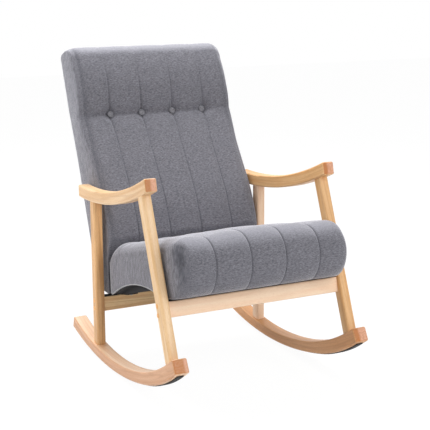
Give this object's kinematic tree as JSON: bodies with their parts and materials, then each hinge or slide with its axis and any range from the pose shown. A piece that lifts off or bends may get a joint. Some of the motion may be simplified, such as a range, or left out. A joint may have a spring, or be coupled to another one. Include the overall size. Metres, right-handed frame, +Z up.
{
  "type": "rocking chair",
  "caption": "Upholstered rocking chair: curved wooden runners, leaning posts and swept armrests carry a channelled seat and a tall buttoned back.",
  "frame": {"origin": "on the floor, under the middle of the chair's overall width and depth", "axes": "+X towards the right side as seen from the front, +Y towards the back so the chair faces -Y, +Z up"},
  "size_m": [0.637, 1.0042, 0.9756],
  "materials": {
    "oak_pale": "satin",
    "oak_runner": "satin",
    "grey_fabric": "matte",
    "frame_wood": "matte",
    "foam": "matte",
    "dust_cloth": "matte",
    "felt": "matte",
    "webbing": "matte",
    "black_rubber": "matte",
    "black_steel": "satin",
    "zinc_steel": "satin"
  },
  "bodies": {
    "root": {"armrest_dowels": "frame_wood", "armrest_left": "oak_pale", "armrest_right": "oak_pale", "back_button_rail": "frame_wood", "back_buttons": "grey_fabric", "back_cushion": "grey_fabric", "back_foam": "foam", "back_foot_board": "frame_wood", "back_lumbar_rail": "frame_wood", "back_rear_cover": "grey_fabric", "back_stile_left": "frame_wood", "back_stile_right": "frame_wood", "back_top_rail": "frame_wood", "back_webbing": "webbing", "barrel_nuts": "zinc_steel", "bolt_cover_plugs": "oak_pale", "button_ties": "webbing", "front_post_left": "oak_pale", "front_post_right": "oak_pale", "front_rail": "oak_pale", "front_rail_pad": "felt", "joining_plate_left": "black_steel", "joining_plate_right": "black_steel", "plate_screws": "zinc_steel", "rail_bolts": "zinc_steel", "rear_post_left": "oak_pale", "rear_post_right": "oak_pale", "rear_rail": "oak_pale", "rear_rail_pad": "felt", "rear_spacers": "black_rubber", "runner_dowels": "frame_wood", "runner_left": "oak_runner", "runner_right": "oak_runner", "runner_strip_left": "black_rubber", "runner_strip_right": "black_rubber", "seat_corner_blocks": "frame_wood", "seat_cushion": "grey_fabric", "seat_deck": "frame_wood", "seat_dust_cover": "dust_cloth", "seat_fixing_bolts": "zinc_steel", "seat_fixing_washers": "zinc_steel", "seat_foam": "foam", "seat_front_board": "frame_wood", "seat_rear_board": "frame_wood", "seat_side_board_left": "frame_wood", "seat_side_board_right": "frame_wood", "threaded_inserts": "zinc_steel"}
  },
  "joints": []
}
